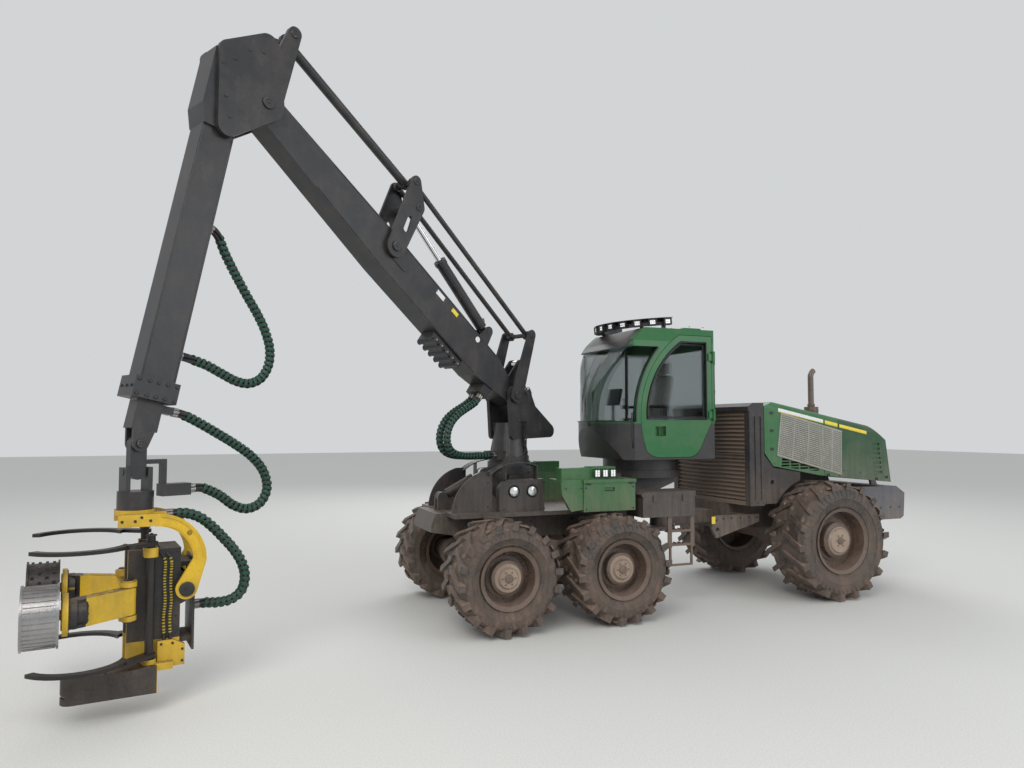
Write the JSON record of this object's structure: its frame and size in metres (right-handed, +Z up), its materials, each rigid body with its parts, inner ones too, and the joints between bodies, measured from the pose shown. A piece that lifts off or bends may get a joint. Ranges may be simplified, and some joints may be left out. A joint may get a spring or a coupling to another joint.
{
  "type": "six-wheel forestry harvester with a parallel crane",
  "caption": "Articulated forestry harvester: front bogie, turning cab, slewing parallel crane with a sliding jib, and a hanging felling and delimbing head.",
  "frame": {"origin": "on the ground under the middle of the whole machine's outline, crane included", "axes": "+X forward along the machine, +Y to its left, +Z up"},
  "size_m": [11.5307, 4.4787, 6.5441],
  "materials": {
    "bare_steel": "worn bright",
    "cast_engine": "matt",
    "charcoal_paint": "dusty satin",
    "chrome_rod": "polished",
    "glass_tint": "tinted",
    "green_paint": "gloss",
    "hose_rubber": "matt",
    "mud": "matt, mud over dark paint",
    "seat_cloth": "matt",
    "tyre_rubber": "matt, mud in the tread",
    "yellow_paint": "worn gloss"
  },
  "bodies": {
    "front": {"front_frame": "charcoal_paint", "bogies": "mud", "side_boxes": "green_paint", "battery_boxes": "charcoal_paint", "ladder": "mud"},
    "crane_foot": {"crane_base": "charcoal_paint"},
    "pillar": {"crane_pillar": "charcoal_paint"},
    "boom_body": {"boom": "charcoal_paint", "base_hoses": "hose_rubber"},
    "jib_body": {"jib": "charcoal_paint", "upper_hose": "hose_rubber"},
    "extension_body": {"extension": "charcoal_paint", "reach_hose": "hose_rubber"},
    "lever": {"link_lever": "charcoal_paint"},
    "rocker": {"link_rocker": "charcoal_paint"},
    "lower_rod_pair": {"lower_rods": "charcoal_paint"},
    "upper_rod_body": {"upper_rod": "charcoal_paint"},
    "lift_barrel_body": {"lift_barrel": "charcoal_paint"},
    "lift_rod_body": {"lift_rod": "chrome_rod"},
    "jib_barrel_body": {"jib_barrel": "charcoal_paint"},
    "jib_rod_body": {"jib_rod": "chrome_rod"},
    "tilt_barrel_body": {"tilt_barrel": "charcoal_paint"},
    "tilt_rod_body": {"tilt_rod": "chrome_rod"},
    "link": {"tip_link": "charcoal_paint"},
    "rotator_body": {"rotator": "charcoal_paint"},
    "head_hanger": {"head_frame": "yellow_paint", "head_hose": "hose_rubber"},
    "head": {"head_body": "yellow_paint"},
    "arm_left_body": {"arm_left": "yellow_paint"},
    "arm_right_body": {"arm_right": "yellow_paint"},
    "roller_left_body": {"roller_left": "bare_steel"},
    "roller_right_body": {"roller_right": "bare_steel"},
    "knife_left_body": {"knife_left": "charcoal_paint"},
    "knife_right_body": {"knife_right": "charcoal_paint"},
    "saw": {"saw_bar": "bare_steel"},
    "cab": {"cab_shell": "green_paint", "cab_roof": "green_paint", "cab_glass": "glass_tint", "cab_seat": "seat_cloth", "cab_trim": "charcoal_paint"},
    "door": {"cab_door": "green_paint", "door_glass": "glass_tint"},
    "rear": {"rear_frame": "charcoal_paint", "rear_axle": "mud", "engine": "cast_engine", "cooler": "charcoal_paint"},
    "hood_body": {"hood": "green_paint", "exhaust": "mud"},
    "wheel_front_left": {"tyre_front_left": "tyre_rubber", "rim_front_left": "mud"},
    "wheel_front_right": {"tyre_front_right": "tyre_rubber", "rim_front_right": "mud"},
    "wheel_mid_left": {"tyre_mid_left": "tyre_rubber", "rim_mid_left": "mud"},
    "wheel_mid_right": {"tyre_mid_right": "tyre_rubber", "rim_mid_right": "mud"},
    "wheel_rear_left": {"tyre_rear_left": "tyre_rubber", "rim_rear_left": "mud"},
    "wheel_rear_right": {"tyre_rear_right": "tyre_rubber", "rim_rear_right": "mud"}
  },
  "joints": [
    {"name": "articulation", "type": "hinge", "parent": "front", "child": "rear", "pos_m": [-1.965, -0.768, 1.06], "axis": [0, 0, -1], "range_deg": [-40, 40]},
    {"name": "wheel_front_left_spin", "type": "hinge", "parent": "front", "child": "wheel_front_left", "pos_m": [0.985, 0.357, 0.665], "axis": [0, 1, 0], "continuous": true},
    {"name": "wheel_front_right_spin", "type": "hinge", "parent": "front", "child": "wheel_front_right", "pos_m": [0.985, -1.893, 0.665], "axis": [0, 1, 0], "continuous": true},
    {"name": "wheel_mid_left_spin", "type": "hinge", "parent": "front", "child": "wheel_mid_left", "pos_m": [-0.515, 0.357, 0.665], "axis": [0, 1, 0], "continuous": true},
    {"name": "wheel_mid_right_spin", "type": "hinge", "parent": "front", "child": "wheel_mid_right", "pos_m": [-0.515, -1.893, 0.665], "axis": [0, 1, 0], "continuous": true},
    {"name": "wheel_rear_left_spin", "type": "hinge", "parent": "rear", "child": "wheel_rear_left", "pos_m": [-3.985, 0.357, 0.82], "axis": [0, 1, 0], "continuous": true},
    {"name": "wheel_rear_right_spin", "type": "hinge", "parent": "rear", "child": "wheel_rear_right", "pos_m": [-3.985, -1.893, 0.82], "axis": [0, 1, 0], "continuous": true},
    {"name": "hood_lift", "type": "hinge", "parent": "rear", "child": "hood_body", "pos_m": [-5.51, -0.768, 1.6], "axis": [0, -1, 0], "range_deg": [0, 50]},
    {"name": "cab_turn", "type": "hinge", "parent": "front", "child": "cab", "pos_m": [-1.615, -0.768, 1.8], "axis": [0, 0, -1], "range_deg": [-80, 80]},
    {"name": "door_swing", "type": "hinge", "parent": "cab", "child": "door", "pos_m": [-2.363, -0.024, 2.8], "axis": [0, 0, 1], "range_deg": [0, 80]},
    {"name": "crane_tilt", "type": "hinge", "parent": "front", "child": "crane_foot", "pos_m": [0.435, -0.768, 1.65], "axis": [0, -1, 0], "range_deg": [-12, 15]},
    {"name": "crane_slew", "type": "hinge", "parent": "crane_foot", "child": "pillar", "pos_m": [0.435, -0.768, 1.95], "axis": [0, 0, -1], "range_deg": [-85, 135]},
    {"name": "boom_lift", "type": "hinge", "parent": "pillar", "child": "boom_body", "pos_m": [0.52563, -0.72574, 2.83], "axis": [-0.4226, 0.9063, 0], "range_deg": [-30, 30], "deforming": ["base_hoses"]},
    {"name": "jib_fold", "type": "hinge", "parent": "boom_body", "child": "jib_body", "pos_m": [3.83142, 0.81578, 5.64914], "axis": [0.4226, -0.9063, 0], "range_deg": [-24, 75]},
    {"name": "extend", "type": "slide", "parent": "jib_body", "child": "extension_body", "axis": [0.1884, 0.0879, -0.9781], "range_m": [0, 1.4]},
    {"name": "lever_turn", "type": "hinge", "parent": "boom_body", "child": "lever", "pos_m": [2.34573, 0.12299, 4.48327], "axis": [0.4226, -0.9063, 0], "range_deg": [-25, 76]},
    {"name": "rocker_turn", "type": "hinge", "parent": "boom_body", "child": "rocker", "pos_m": [0.52563, -0.72574, 2.83], "axis": [0.4226, -0.9063, 0], "range_deg": [-25, 76]},
    {"name": "lower_rods_turn", "type": "hinge", "parent": "lever", "child": "lower_rod_pair", "pos_m": [2.08253, 0.00026, 5.30337], "axis": [0.4226, -0.9063, 0], "range_deg": [-76, 25]},
    {"name": "upper_rod_turn", "type": "hinge", "parent": "jib_body", "child": "upper_rod_body", "pos_m": [3.56822, 0.69305, 6.46924], "axis": [0.4226, -0.9063, 0], "range_deg": [-76, 25]},
    {"name": "lift_barrel_turn", "type": "hinge", "parent": "pillar", "child": "lift_barrel_body", "pos_m": [-0.10879, -1.02157, 2.35], "axis": [0.4226, -0.9063, 0], "range_deg": [-8.39, 8.39]},
    {"name": "lift_rod_slide", "type": "slide", "parent": "lift_barrel_body", "child": "lift_rod_body", "axis": [0.4125, 0.1923, 0.8904], "range_m": [-0.2178, 0.2178]},
    {"name": "jib_barrel_turn", "type": "hinge", "parent": "boom_body", "child": "jib_barrel_body", "pos_m": [0.86653, -0.56678, 3.65154], "axis": [0.4226, -0.9063, 0], "range_deg": [-9.57, 3.74]},
    {"name": "jib_rod_slide", "type": "slide", "parent": "jib_barrel_body", "child": "jib_rod_body", "axis": [0.6298, 0.2937, 0.7191], "range_m": [-0.6733, 0.2223]},
    {"name": "tilt_barrel_turn", "type": "hinge", "parent": "front", "child": "tilt_barrel_body", "pos_m": [1.385, -0.768, 1.5], "axis": [0, -1, 0], "range_deg": [-6.9, 5.72]},
    {"name": "tilt_rod_slide", "type": "slide", "parent": "tilt_barrel_body", "child": "tilt_rod_body", "axis": [-0.8849, 0, 0.4657], "range_m": [-0.0753, 0.0916]},
    {"name": "link_swing", "type": "hinge", "parent": "extension_body", "child": "link", "pos_m": [4.83535, 1.28391, 2.2655], "axis": [0.4226, -0.9063, 0], "range_deg": [-45, 45], "deforming": ["reach_hose"]},
    {"name": "side_swing", "type": "hinge", "parent": "link", "child": "rotator_body", "pos_m": [4.83535, 1.28391, 2.0155], "axis": [0.9063, 0.4226, 0], "range_deg": [-30, 30]},
    {"name": "rotator_turn", "type": "hinge", "parent": "rotator_body", "child": "head_hanger", "pos_m": [4.83535, 1.28391, 1.6855], "axis": [0, 0, 1], "range_deg": [-170, 170]},
    {"name": "head_tilt", "type": "hinge", "parent": "head_hanger", "child": "head", "pos_m": [4.43924, 1.22825, 0.9995], "axis": [-0.1392, 0.9903, 0], "range_deg": [0, 90], "deforming": ["head_hose"]},
    {"name": "arm_left_grip", "type": "hinge", "parent": "head", "child": "arm_left_body", "pos_m": [4.85023, 1.60915, 0.9495], "axis": [0, 0, -1], "range_deg": [0, 22]},
    {"name": "roller_left_spin", "type": "hinge", "parent": "arm_left_body", "child": "roller_left_body", "pos_m": [5.30639, 1.95601, 0.9495], "axis": [0.9903, 0.1392, 0], "continuous": true},
    {"name": "knife_left_grip", "type": "hinge", "parent": "head", "child": "knife_left_body", "pos_m": [4.68466, 1.56569, 0.9495], "axis": [0, 0, -1], "range_deg": [0, 24]},
    {"name": "arm_right_grip", "type": "hinge", "parent": "head", "child": "arm_right_body", "pos_m": [4.9393, 0.97538, 0.9495], "axis": [0, 0, 1], "range_deg": [0, 22]},
    {"name": "roller_right_spin", "type": "hinge", "parent": "arm_right_body", "child": "roller_right_body", "pos_m": [5.4734, 0.76769, 0.9495], "axis": [0.9903, 0.1392, 0], "continuous": true},
    {"name": "knife_right_grip", "type": "hinge", "parent": "head", "child": "knife_right_body", "pos_m": [4.76817, 0.97152, 0.9495], "axis": [0, 0, 1], "range_deg": [0, 24]},
    {"name": "saw_swing", "type": "hinge", "parent": "head", "child": "saw", "pos_m": [4.73991, 1.60374, 0.2395], "axis": [0, 0, -1], "range_deg": [0, 95]}
  ],
  "couplings": [
    {"joint": "lever_turn", "follows": "jib_fold", "ratio": 1},
    {"joint": "rocker_turn", "follows": "jib_fold", "ratio": 1},
    {"joint": "lower_rods_turn", "follows": "jib_fold", "ratio": -1},
    {"joint": "upper_rod_turn", "follows": "jib_fold", "ratio": -1},
    {"joint": "lift_barrel_turn", "follows": "boom_lift", "ratio": -0.24629},
    {"joint": "lift_rod_slide", "follows": "boom_lift", "m_per_rad": 0.39687},
    {"joint": "jib_barrel_turn", "follows": "jib_fold", "ratio": -0.11432},
    {"joint": "jib_rod_slide", "follows": "jib_fold", "m_per_rad": -0.50675},
    {"joint": "tilt_barrel_turn", "follows": "crane_tilt", "ratio": -0.39304},
    {"joint": "tilt_rod_slide", "follows": "crane_tilt", "m_per_rad": 0.31161}
  ]
}
